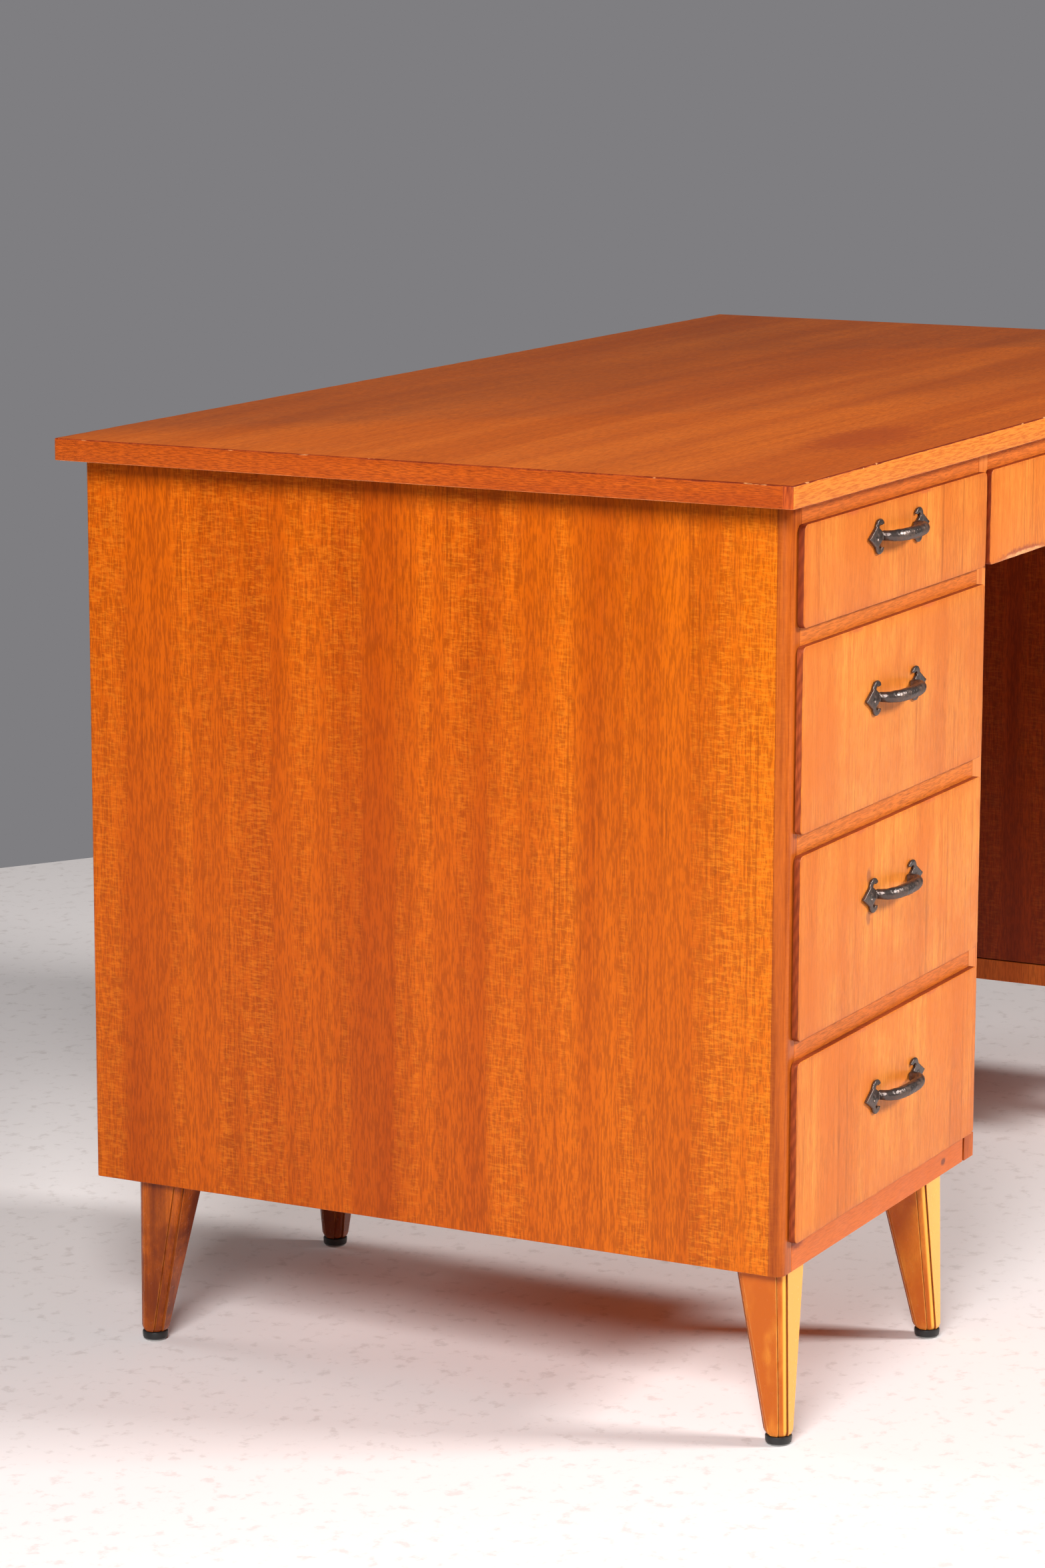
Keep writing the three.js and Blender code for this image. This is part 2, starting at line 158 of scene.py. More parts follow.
def make_figure_group():
    """Wood figure: Position is in metres with the grain along Z. Each output runs from 0 to 1."""
    tree, given, result = new_group(
        "wood_figure", {"Position": (0.0, 0.0, 0.0), "Seed": 0.0},
        ["Bands", "Streaks", "Lines", "Fibres", "Ribbon", "Pores", "Knots"])
    seeded = add(tree, "ShaderNodeVectorMath", {
        0: given["Position"],
        1: add(tree, "ShaderNodeCombineXYZ", {
            "X": maths(tree, "MULTIPLY", given["Seed"], 1.37),
            "Y": maths(tree, "MULTIPLY", given["Seed"], 0.61)}).outputs[0],
    }, operation="ADD").outputs[0]
    link = tree.links.new
    link(smooth(tree, cloud(tree, seeded, (17, 17, 0.6), 3.0, 0.6, 0.2), 0.3, 0.72), result["Bands"])
    link(smooth(tree, cloud(tree, seeded, (170, 170, 2.4), 3.0, 0.6), 0.44, 0.68), result["Streaks"])
    # thin dark upright lines, in some stretches of the width only
    narrow = smooth(tree, cloud(tree, seeded, (330, 330, 3.5), 2.0, 0.5), 0.6, 0.68)
    stretch = smooth(tree, cloud(tree, seeded, (17, 17, 2.0), 1.0), 0.44, 0.6)
    link(maths(tree, "MULTIPLY", narrow, stretch), result["Lines"])
    link(smooth(tree, cloud(tree, seeded, (800, 800, 85), 2.0, 0.6), 0.42, 0.6), result["Fibres"])
    # cross ribbon: short light dashes across the grain, only inside some of the upright bands
    dashes = smooth(tree, cloud(tree, seeded, (110, 110, 640), 3.0, 0.62), 0.45, 0.64)
    where = smooth(tree, cloud(tree, seeded, (27, 27, 0.9), 2.0, 0.55), 0.45, 0.6)
    link(maths(tree, "MULTIPLY", dashes, where), result["Ribbon"])
    link(smooth(tree, cloud(tree, seeded, (1150, 1150, 85), 1.0), 0.6, 0.7), result["Pores"])
    # pin knots: a small dot in some of the cells
    cells = add(tree, "ShaderNodeTexVoronoi", {
        "Vector": stretched(tree, seeded, (7.5, 7.5, 5.5)), "Scale": 1.0})
    pin = smooth(tree, cells.outputs["Distance"], 0.012, 0.04, 1.0, 0.0)
    draw = add(tree, "ShaderNodeSeparateXYZ", {0: cells.outputs["Color"]}).outputs[0]
    few = smooth(tree, draw, 0.4, 0.45, 1.0, 0.0)
    link(maths(tree, "MULTIPLY", pin, few), result["Knots"])
    return tree


def make_wear_group():
    """How much of the film is rubbed off along edges and corners, from 0 to 1."""
    tree, given, result = new_group(
        "edge_wear", {"Position": (0.0, 0.0, 0.0), "Width": 0.0015, "Amount": 0.5}, ["Mask"])
    bevelled = add(tree, "ShaderNodeBevel", {"Radius": given["Width"]}, samples=4).outputs[0]
    flat = tree.nodes.new("ShaderNodeNewGeometry").outputs["Normal"]
    bend = maths(tree, "SUBTRACT", 1.0, add(
        tree, "ShaderNodeVectorMath", {0: bevelled, 1: flat}, operation="DOT_PRODUCT").outputs["Value"])
    edge = smooth(tree, bend, 0.01, 0.2)
    patchy = smooth(tree, cloud(tree, given["Position"], (70, 70, 70), 3.0, 0.6), 0.34, 0.62)
    worn = maths(tree, "MULTIPLY", edge, patchy)
    tree.links.new(maths(tree, "MULTIPLY", worn, given["Amount"], True), result["Mask"])
    return tree


def make_handling_group():
    """Soft blotches left by years of polish and hands, and a finer unevenness of the film."""
    tree, given, result = new_group("handling", {"Position": (0.0, 0.0, 0.0)}, ["Blotches", "Film"])
    patches = cloud(tree, given["Position"], (6, 6, 6), 3.0, 0.55, 0.4)
    tree.links.new(smooth(tree, patches, 0.35, 0.68), result["Blotches"])
    tree.links.new(cloud(tree, given["Position"], (55, 55, 55), 4.0, 0.6), result["Film"])
    return tree


FIGURE = make_figure_group()
WEAR = make_wear_group()
HANDLING = make_handling_group()


def start_material(name):
    """A material with an empty Principled shader; gives it, its tree and the shader."""
    material = bpy.data.materials.new(name)
    material.use_nodes = True
    tree = material.node_tree
    tree.nodes.clear()
    shader = tree.nodes.new("ShaderNodeBsdfPrincipled")
    output = tree.nodes.new("ShaderNodeOutputMaterial")
    tree.links.new(shader.outputs[0], output.inputs[0])
    return material, tree, shader


def along(tree, position, grain):
    """Position turned so that the grain runs along Z."""
    parts = add(tree, "ShaderNodeSeparateXYZ", {0: position}).outputs
    order = {"x": "YZX", "y": "ZXY", "z": "XYZ"}[grain]
    return add(tree, "ShaderNodeCombineXYZ", {i: parts[axis] for i, axis in enumerate(order)}).outputs[0]


def wood(name, grain, light, dark, streak=0.5, line=0.2, fibre=0.35, ribbon=0.0, pores=0.4, blotch=0.3,
         mottle=1.0, rubbed=(240, 180, 120), wear=0.4, roughness=0.36, gloss=0.22, coat=0.0, relief=0.14,
         figure=1.0, knots=0.0, extra=None):
    """A varnished wood. light and dark are the ends of its tones and rubbed is the tone under a worn
    film, in screen values. streak, line, fibre, ribbon, pores, blotch and knots are how strongly each
    mark shows. mottle and figure shrink the blotches and the grain. extra adds marks of its own."""
    material, tree, shader = start_material(name)
    here = tree.nodes.new("ShaderNodeTexCoord").outputs["Object"]
    number = tree.nodes.new("ShaderNodeObjectInfo").outputs["Object Index"]
    grained = along(tree, stretched(tree, here, (figure,) * 3), grain)
    cut = placed(tree, FIGURE, {"Position": grained, "Seed": number})
    worn = placed(tree, WEAR, {"Position": here, "Amount": wear})
    used = placed(tree, HANDLING, {"Position": stretched(tree, here, (mottle,) * 3)})
    light, dark, rubbed = linear(light), linear(dark), linear(rubbed)
    deep = tuple(DEEPEN * v for v in dark[:3]) + (1,)
    colour = mixed(tree, cut["Bands"], light, dark)
    marks = [("Streaks", cut, streak, dark), ("Fibres", cut, fibre, deep), ("Ribbon", cut, ribbon, rubbed),
             ("Lines", cut, line, deep), ("Pores", cut, pores, deep), ("Knots", cut, knots, deep),
             ("Blotches", used, blotch, dark)]
    for label, source, amount, tone in marks:
        if amount:
            colour = mixed(tree, maths(tree, "MULTIPLY", source[label], amount), colour, tone)
    if extra:
        colour = extra(tree, here, colour)
    colour = mixed(tree, worn["Mask"], colour, rubbed)
    tree.links.new(colour, shader.inputs["Base Color"])
    sheen = smooth(tree, used["Film"], 0.3, 0.7, roughness - 0.03, roughness + 0.04)
    tree.links.new(maths(tree, "ADD", sheen, maths(tree, "MULTIPLY", worn["Mask"], 0.2)),
                   shader.inputs["Roughness"])
    height = maths(tree, "ADD", maths(tree, "MULTIPLY", cut["Fibres"], -0.35),
                   maths(tree, "MULTIPLY", cut["Pores"], -0.8))
    bump = add(tree, "ShaderNodeBump", {"Strength": relief, "Distance": 0.0004, "Height": height})
    tree.links.new(bump.outputs[0], shader.inputs["Normal"])
    shader.inputs["Coat Weight"].default_value = coat
    shader.inputs["Coat Roughness"].default_value = 0.22
    shader.inputs["IOR"].default_value = 1.45
    shader.inputs["Specular IOR Level"].default_value = gloss
    return material


def inside_of(tree, position, axis, low, high, soft=0.6 * MM):
    """1 where the position's axis lies between low and high, with a thin soft edge."""
    value = add(tree, "ShaderNodeSeparateXYZ", {0: position}).outputs[axis]
    rise = smooth(tree, value, low - soft, low + soft)
    fall = smooth(tree, value, high - soft, high + soft, 1.0, 0.0)
    return maths(tree, "MULTIPLY", rise, fall)


def front_lipping_and_painted_light(tree, position, colour):
    """A side is painted lighter towards its front edge, as painted light, and that edge is a solid red-brown
    strip behind a hairline joint.
    """
    strip = inside_of(tree, position, "Y", FRAME_FRONT - 1, FRAME_FRONT + LIPPING_DEPTH)
    seam, half = FRAME_FRONT + LIPPING_DEPTH, 0.3 * MM
    joint = inside_of(tree, position, "Y", seam - half, seam + half, 0.2 * MM)
    lines = smooth(tree, cloud(tree, position, (260, 260, 6), 2.0, 0.6), 0.4, 0.7)
    solid = mixed(tree, lines, linear((174, 84, 28)), linear((130, 52, 14)))
    depth = add(tree, "ShaderNodeSeparateXYZ", {0: position}).outputs["Y"]
    # painted light: the side's colour is raised over the 300 mm nearest its front
    painted_light_to_front = smooth(tree, depth, FRAME_FRONT + 300 * MM, FRAME_FRONT + 40 * MM)
    painted_light_gain = (1.25, 1.55, 1.6, 1)
    colour = mixed(tree, maths(tree, "MULTIPLY", painted_light_to_front, 0.75), colour, painted_light_gain, "MULTIPLY")
    colour = mixed(tree, maths(tree, "MULTIPLY", strip, 0.75), colour, solid)
    return mixed(tree, maths(tree, "MULTIPLY", joint, 0.5), colour, linear((90, 30, 8)))


def smudge(tree, position, colour, centre, reach, tone, amount, ragged=0.5):
    """A soft-edged mark of the given half sizes round a centre, with a torn outline."""
    away = add(tree, "ShaderNodeVectorMath", {0: position, 1: centre}, operation="SUBTRACT").outputs[0]
    scaled = stretched(tree, away, [1 / r for r in reach])
    far = add(tree, "ShaderNodeVectorMath", {0: scaled}, operation="LENGTH").outputs["Value"]
    torn = cloud(tree, position, (150, 150, 150), 3.0, 0.65)
    far = maths(tree, "ADD", far, maths(tree, "MULTIPLY", torn, ragged))
    patch = smooth(tree, far, 0.45 + ragged / 2, 1.0 + ragged / 2, amount, 0.0)
    return mixed(tree, patch, colour, linear(tone))


def desk_stain(tree, position, colour):
    """A dark patch towards the front of the top, near the left end, and long dull shadows."""
    drift = smooth(tree, cloud(tree, position, (1.6, 8, 1), 2.0, 0.5, 0.3), 0.46, 0.7)
    colour = mixed(tree, maths(tree, "MULTIPLY", drift, 0.3), colour, linear((138, 58, 16)))
    centre = (top_lo.x + 310 * MM, top_lo.y + 75 * MM, top_hi.z)
    return smudge(tree, position, colour, centre, (120 * MM, 45 * MM, 1), (150, 56, 18), 0.5, 1.3)


def inner_front_edge(tree, position, colour):
    """A pedestal's inner side ends in a light strip, flush with the rails."""
    strip = inside_of(tree, position, "Y", FRAME_FRONT - 1, FRAME_FRONT + 1.5 * MM)
    lines = smooth(tree, cloud(tree, position, (300, 300, 9), 2.0, 0.6), 0.4, 0.7)
    light = mixed(tree, lines, linear((222, 130, 58)), linear((196, 100, 38)))
    return mixed(tree, strip, colour, light)


def front_marks(tree, position, colour):
    """Marks of use on the fronts, and a dark rim on their edges that is partly painted shade."""
    # grime above and below the left plate of one handle
    lo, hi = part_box("drawer_3_handle")
    for up, reach in ((16 * MM, 9 * MM), (-17 * MM, 8 * MM)):
        centre = (lo.x + 15 * MM, lo.y, (lo.z + hi.z) / 2 + up)
        colour = smudge(tree, position, colour, centre, (6 * MM, 1, reach), (108, 62, 50), 0.55, 0.8)
    # veneer broken away along the centre drawer's lower edge, pale inside a dark rim
    lo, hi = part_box("centre_drawer_front")
    centre = (lo.x + 78 * MM, lo.y, lo.z)
    colour = smudge(tree, position, colour, centre, (74 * MM, 1, 9 * MM), (140, 62, 44), 0.75, 1.3)
    colour = smudge(tree, position, colour, centre, (66 * MM, 1, 4.5 * MM), (240, 166, 108), 0.9, 1.1)
    # finger marks on the pedestal drawers' upper edges, a little further right on each lower one
    for row in (1, 2, 3, 4):
        lo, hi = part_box(f"drawer_{row}_front")
        for across in (0.22, 0.61):
            centre = (lo.x + across * (hi.x - lo.x) + 11 * MM * row, lo.y, hi.z)
            colour = smudge(tree, position, colour, centre, (16 * MM, 1, 3.5 * MM), (196, 96, 52), 0.6, 0.9)
    # darker varnish near the edges, and a dark rim on the edges themselves, partly dirt and partly painted
    # shade of the gaps round each front
    handled = placed(tree, WEAR, {"Position": position, "Width": 9 * MM, "Amount": 0.55})["Mask"]
    colour = mixed(tree, handled, colour, linear((176, 78, 26)))
    elsewhere = stretched(tree, position, (2, 2, 2))
    edge_dirt_and_shade = placed(tree, WEAR, {"Position": elsewhere, "Width": 2.5 * MM, "Amount": 0.5})["Mask"]
    return mixed(tree, edge_dirt_and_shade, colour, linear((112, 44, 20)))


def rail_marks(tree, position, colour):
    """Redder bottom rail, dark at its left end, with a filled hole near its right end."""
    lo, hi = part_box("left_bottom_rail")
    low = inside_of(tree, position, "Z", lo.z - MM, hi.z)
    colour = mixed(tree, maths(tree, "MULTIPLY", low, 0.6), colour, linear((196, 92, 40)))
    left_end = (lo.x + 8 * MM, lo.y, hi.z - 6 * MM)
    colour = smudge(tree, position, colour, left_end, (22 * MM, 1, 8 * MM), (120, 44, 22), 0.75, 0.8)
    hole = (hi.x - 44 * MM, lo.y, lo.z + 11 * MM)
    return smudge(tree, position, colour, hole, (7 * MM, 1, 4 * MM), (104, 52, 40), 0.8, 0.6)


def strip_ends_and_painted_light(tree, position, colour):
    """The top's edges that don't face along X are paler, partly the front strip's own wood and partly painted
    light on the front-facing edge, and its end grain shows darker at the top's two ends.
    """
    end = inside_of(tree, position, "Y", top_lo.y - 1, top_lo.y + END_STRIP)
    side = add(tree, "ShaderNodeSeparateXYZ", {
        0: tree.nodes.new("ShaderNodeTexCoord").outputs["Normal"]}).outputs["X"]
    facing = smooth(tree, maths(tree, "ABSOLUTE", side), 0.6, 0.8)
    # painted light, partly the strip's own paler wood: edges not facing along X take this tone
    front = mixed(tree, smooth(tree, cloud(tree, position, (70, 900, 900), 3.0, 0.6), 0.4, 0.66),
                  linear((216, 126, 46)), linear((190, 98, 32)))
    colour = mixed(tree, maths(tree, "SUBTRACT", 1.0, facing), colour, front)
    rings = smooth(tree, cloud(tree, position, (300, 900, 60), 2.0), 0.4, 0.65)
    red = mixed(tree, rings, linear((186, 80, 26)), linear((120, 40, 10)))
    return mixed(tree, maths(tree, "MULTIPLY", end, facing), colour, red)


def leg_faces_lit_and_shaded(tree, position, colour):
    """Chosen by which way each face looks: a darker mottled brown on a leg's left faces, partly face grain
    and partly painted shade, and a bright tone on its front faces, partly paler edge grain and partly painted
    light.
    """
    normal = add(tree, "ShaderNodeSeparateXYZ", {
        0: tree.nodes.new("ShaderNodeTexCoord").outputs["Normal"]}).outputs
    # painted shade on the left faces and painted light on the front faces, picked by each face's normal
    left = smooth(tree, maths(tree, "MULTIPLY", normal["X"], -1.0), 0.6, 0.85)
    front = smooth(tree, maths(tree, "MULTIPLY", normal["Y"], -1.0), 0.6, 0.85)
    patches = smooth(tree, cloud(tree, position, (34, 34, 17), 3.0, 0.6), 0.4, 0.62, 0.1, 1.0)
    colour = mixed(tree, maths(tree, "MULTIPLY", left, patches), colour, linear((184, 88, 12)))
    return mixed(tree, maths(tree, "MULTIPLY", front, 0.7), colour, linear((252, 184, 76)))


def chipped(tree, position, colour):
    """Pale chips where the veneer's edge has broken away."""
    chips = smooth(tree, cloud(tree, position, (45, 45, 200), 3.0, 0.65), 0.6, 0.68)
    return mixed(tree, maths(tree, "MULTIPLY", chips, 0.85), colour, linear((232, 160, 100)))


def growth_lines(tree, position, colour):
    """Slanting growth lines of the core, seen on the narrow edge of a front."""
    rings = add(tree, "ShaderNodeTexWave", {
        "Vector": stretched(tree, position, (1, 1, 0.45)), "Scale": 95.0, "Distortion": 5.0,
        "Detail": 2.0, "Detail Scale": 0.35,
    }, wave_type="BANDS", bands_direction="DIAGONAL").outputs["Fac"]
    return mixed(tree, maths(tree, "MULTIPLY", rings, 0.45), colour, linear((92, 32, 12)))


def forged_iron():
    """Blackened iron with hammer facets; its rubbed edges and high spots are painted bright, partly bare worn
    metal and partly painted highlight.
    """
    material, tree, shader = start_material("forged_iron")
    here = tree.nodes.new("ShaderNodeTexCoord").outputs["Object"]
    facets = add(tree, "ShaderNodeTexVoronoi", {"Vector": here, "Scale": 420.0},
                 feature="SMOOTH_F1").outputs["Distance"]
    grit = cloud(tree, here, (1500, 1500, 1500), 3.0, 0.6)
    tarnish = smooth(tree, cloud(tree, here, (130, 130, 130), 3.0, 0.6), 0.38, 0.68)
    worn = placed(tree, WEAR, {"Position": here, "Width": 1.2 * MM, "Amount": 0.7})
    colour = mixed(tree, tarnish, linear((88, 79, 76)), linear((108, 88, 78)))
    # painted highlight, partly bare rubbed metal: edges and high spots turned pale
    colour = mixed(tree, worn["Mask"], colour, linear((176, 160, 150)))
    tree.links.new(colour, shader.inputs["Base Color"])
    shader.inputs["Metallic"].default_value = 0.85
    tree.links.new(smooth(tree, tarnish, 0.0, 1.0, 0.34, 0.5), shader.inputs["Roughness"])
    height = maths(tree, "ADD", facets, maths(tree, "MULTIPLY", grit, 0.25))
    bump = add(tree, "ShaderNodeBump", {"Strength": 0.5, "Distance": 0.0006, "Height": height})
    tree.links.new(bump.outputs[0], shader.inputs["Normal"])
    return material


def plain_finish(name, colour, spots, roughness, metallic):
    """A metal or a plastic with faint spots and a slightly uneven polish."""
    material, tree, shader = start_material(name)
    here = tree.nodes.new("ShaderNodeTexCoord").outputs["Object"]
    used = placed(tree, HANDLING, {"Position": stretched(tree, here, (8, 8, 8))})
    tree.links.new(mixed(tree, used["Blotches"], linear(colour), linear(spots)), shader.inputs["Base Color"])
    tree.links.new(smooth(tree, used["Film"], 0.3, 0.7, roughness - 0.06, roughness + 0.1),
                   shader.inputs["Roughness"])
    shader.inputs["Metallic"].default_value = metallic
    return material


def make_finishes():
    """Every finish of the desk, by the name used below."""
    return {
        "top": wood("top_veneer", "x", (210, 103, 26), (182, 81, 17), streak=0.35, line=0.25, fibre=0.3,
                    ribbon=0.12, pores=0.35, blotch=0.2, rubbed=(220, 130, 62), wear=0.2, knots=0.5,
                    gloss=0.35, relief=0.08, extra=desk_stain),
        "top_edge": wood("top_lipping", "y", (194, 88, 16), (160, 62, 8), streak=0.3, line=0.3, fibre=0.55,
                         pores=0.5, rubbed=(220, 134, 62), wear=0.3, roughness=0.42, figure=1.6,
                         extra=strip_ends_and_painted_light),
        "arris": wood("top_arris", "x", (160, 62, 22), (112, 36, 10), streak=0.8, wear=0.0, roughness=0.45,
                      extra=chipped),
        "pale_arris": wood("pale_arris", "x", (226, 140, 84), (190, 100, 48), wear=0.0, roughness=0.45),
        "side": wood("side_veneer", "z", (200, 92, 4), (168, 68, 1), streak=0.3, line=0.4, fibre=0.5,
                     ribbon=0.34, pores=0.2, blotch=0.12, rubbed=(226, 126, 26), wear=0.3, roughness=0.32,
                     knots=0.9, extra=front_lipping_and_painted_light),
        # inner veneer: its own darker red-brown, made darker still as painted shade for the shaded kneehole
        "inner": wood("inner_side_veneer_shade_darkened", "z", (150, 54, 5), (112, 32, 2), streak=0.5, fibre=0.45,
                      ribbon=0.2, rubbed=(180, 92, 28), wear=0.3, extra=inner_front_edge),
        "front": wood("front_veneer", "z", (232, 142, 58), (200, 104, 34), streak=0.5, line=0.5,
                      fibre=0.3, pores=0.2, blotch=0.65, mottle=2.6, rubbed=(238, 162, 92), wear=0.3,
                      roughness=0.38, knots=0.3, extra=front_marks),
        "front_edge": wood("front_edge_core", "z", (172, 80, 38), (132, 52, 20), streak=0.4, wear=0.2,
                           rubbed=(206, 120, 70), roughness=0.5, extra=growth_lines),
        "rail": wood("rail_wood", "x", (226, 125, 46), (208, 104, 34), streak=0.25, line=0.25, fibre=0.4,
                     pores=0.5, rubbed=(236, 158, 84), wear=0.35, roughness=0.42, extra=rail_marks),
        "rail_end": wood("rail_end_wood", "z", (214, 112, 40), (176, 78, 22), streak=0.4, fibre=0.4,
                         rubbed=(236, 158, 84), wear=0.3, roughness=0.42),
        "runner": wood("runner_wood", "y", (222, 166, 100), (190, 130, 70), streak=0.5, fibre=0.4,
                       wear=0.2, roughness=0.5),
        "inside": wood("inside_wood", "x", (226, 172, 112), (204, 144, 86), streak=0.4, fibre=0.4,
                       blotch=0.15, rubbed=(236, 200, 148), wear=0.25, roughness=0.5),
        "leg": wood("leg_wood", "z", (236, 152, 50), (196, 100, 22), streak=0.3, fibre=0.2, pores=0.15,
                    blotch=0.5, mottle=3.4, rubbed=(250, 200, 104), wear=0.5, roughness=0.24, coat=0.2,
                    figure=1.6, extra=leg_faces_lit_and_shaded),
        # painted shade: the legs' groove faces are given this dark tone
        "leg_groove_painted_shade": wood("leg_groove_painted_shade", "z", (150, 72, 16), (104, 42, 8), wear=0.0, roughness=0.4),
        # the back legs: a darker figure, and partly painted shade for where they stand
        "dark_leg_painted_shade": wood("dark_leg_wood", "z", (208, 102, 14), (98, 32, 3), streak=0.4, fibre=0.25,
                         pores=0.2, blotch=0.85, mottle=4.0, rubbed=(226, 144, 52), wear=0.5,
                         roughness=0.24, coat=0.2, figure=2.2),
        "iron": forged_iron(),
        "screw": plain_finish("screw_steel", (96, 90, 84), (58, 50, 44), 0.4, 1.0),
        "cap": plain_finish("cap_plastic", (24, 24, 25), (36, 35, 34), 0.42, 0.0),
        "glide": plain_finish("glide_plastic", (150, 150, 148), (118, 116, 112), 0.5, 0.0),
        "brass": plain_finish("hinge_brass", (176, 136, 70), (120, 86, 42), 0.34, 1.0),
    }


finishes = make_finishes()


# ==== mesh building ====
def rounded(rect, radii, inset=0.0, cuts=(1, 1)):
    """Points round a rectangle (u0, u1, v0, v1), with a radius at each corner, set in by inset.
    The number of points depends only on cuts, so that rings of it can be skinned together."""
    u0, u1, v0, v1 = rect
    corners = [(u0, v0, 1, 1), (u1, v0, -1, 1), (u1, v1, -1, -1), (u0, v1, 1, -1)]
    points = []
    for i, ((u, v, in_u, in_v), radius) in enumerate(zip(corners, radii)):
        reach = max(radius, inset + 0.01 * MM)
        cu, cv = u + in_u * reach, v + in_v * reach
        for step in range(ARC_STEPS + 1):
            a = math.pi * (1 + (i + step / ARC_STEPS) / 2)
            points.append((cu + (reach - inset) * math.cos(a), cv + (reach - inset) * math.sin(a)))
    full = []
    for i in range(4):
        arc = points[i * (ARC_STEPS + 1):(i + 1) * (ARC_STEPS + 1)]
        nxt = points[(i + 1) * (ARC_STEPS + 1) % len(points)]
        full += arc
        for cut in range(1, cuts[i % 2]):
            t = cut / cuts[i % 2]
            full.append((arc[-1][0] + (nxt[0] - arc[-1][0]) * t, arc[-1][1] + (nxt[1] - arc[-1][1]) * t))
    return full


def softened(rect, radii, face, back, radius, cuts=(1, 1), wander=0.0, wave=60.0, steps=4):
    """Rings that turn from a slab's edge on to its face, over an arris that may wander.
    face is the face's level, and back is +1 or -1, the way from it into the wood."""
    outer, inner = rounded(rect, radii, 0, cuts), rounded(rect, radii, PROBE, cuts)
    rings = []
    for step in range(steps + 1):
        a = step / steps * math.pi / 2
        ring = []
        for (u, v), (iu, iv) in zip(outer, inner):
            r = radius * (1 + wander * noise.noise(Vector((u * wave, v * wave, face * 9))))
            s = r * (1 - math.cos(a)) / PROBE
            ring.append((u + (iu - u) * s, v + (iv - v) * s, face + back * r * (1 - math.sin(a))))
        rings.append(ring)
    return rings


def turned(rings, axis):
    """Rings of (u, v, level) stood so that level runs along the axis."""
    u, v, w = {"y": (0, 2, 1), "z": (0, 1, 2)}[axis]
    return [[(p[u], p[v], p[w]) for p in ring] for ring in rings]


def skin(name, rings, finish, bands=None, ends=(0, 0), sharp=35):
    """A closed skin over rings with equal counts. finish lists material names, bands gives the
    material number of each stretch between rings, and ends those of the two flat caps."""
    count, rows = len(rings[0]), len(rings)
    faces, slots = [], []
    for i in range(rows - 1):
        for j in range(count):
            k = (j + 1) % count
            faces.append((i * count + j, i * count + k, (i + 1) * count + k, (i + 1) * count + j))
            slots.append(bands[i] if bands else 0)
    wall = len(faces)
    faces += [tuple(range(count))[::-1], tuple((rows - 1) * count + j for j in range(count))]
    slots += ends
    mesh = bpy.data.meshes.new(name)
    mesh.from_pydata([p for ring in rings for p in ring], [], faces)
    for number, (face, slot) in enumerate(zip(mesh.polygons, slots)):
        face.material_index = slot
        face.use_smooth = number < wall
    work = bmesh.new()
    work.from_mesh(mesh)
    bmesh.ops.recalc_face_normals(work, faces=work.faces)
    work.to_mesh(mesh)
    work.free()
    mesh.set_sharp_from_angle(angle=math.radians(sharp))
    for label in finish:
        mesh.materials.append(finishes[label])
    piece = bpy.data.objects.new(name, mesh)
    bpy.context.scene.collection.objects.link(piece)
    return piece


def stands_for(piece, slot, *replaced, number=0):
    """The piece takes the place of CAD nodes, on their body."""
    piece.pass_index = number
    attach(piece, nodes[replaced[0]]["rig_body"])
    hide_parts(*replaced)


def goes_with(piece, body):
    """An added piece that rides on a body."""
    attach(piece, body)


def rect_of(lo, hi, axis):
    """A box seen along an axis, as (u0, u1, v0, v1)."""
    u, v = {"y": (0, 2), "z": (0, 1)}[axis]
    return lo[u], hi[u], lo[v], hi[v]


# ==== the top ====
def build_top():
    """Veneered panel: dark worn arris above, light strip at the front, a fine pale line below."""
    rect = rect_of(top_lo, top_hi, "z")
    radii = (2 * MM,) * 4
    cuts = (210, 108)              # about 6 mm apart, so that the worn arris can wander
    under = softened(rect, radii, top_lo.z, 1, 0.8 * MM, cuts, 0.5)
    over = softened(rect, radii, top_hi.z, -1, 1.3 * MM, cuts, 0.75)
    rings = under[::-1] + over
    bands = [1] * (len(rings) - 1)
    bands[:3] = [4, 4, 4]
    bands[-3:] = [2, 2, 2]
    finish = ["top", "top_edge", "arris", "inner", "pale_arris"]
    top = skin("desk_top_panel", turned(rings, "z"), finish, bands, (3, 0))
    stands_for(top, "top_veneer", "desk_top", number=1)


# ==== pedestal sides ====
def build_outer_side(side, number):
    """Side panel with its front corner rounded and its bottom and back edges eased."""
    name = f"{side}_outer_side"
    lo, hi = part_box(name)
    rect = rect_of(lo, hi, "z")
    front, back, hard = 8 * MM, 2.5 * MM, 0.6 * MM
    radii = (front, hard, hard, back) if side == "left" else (hard, front, back, hard)
    rings = softened(rect, radii, lo.z, 1, 0.7 * MM, (2, 40), 0.4)[::-1]
    rings += softened(rect, radii, hi.z, -1, 0.5 * MM, (2, 40))
    panel = skin(f"{side}_side_panel", turned(rings, "z"), ["side"])
    stands_for(panel, "side_veneer", name, number=number)


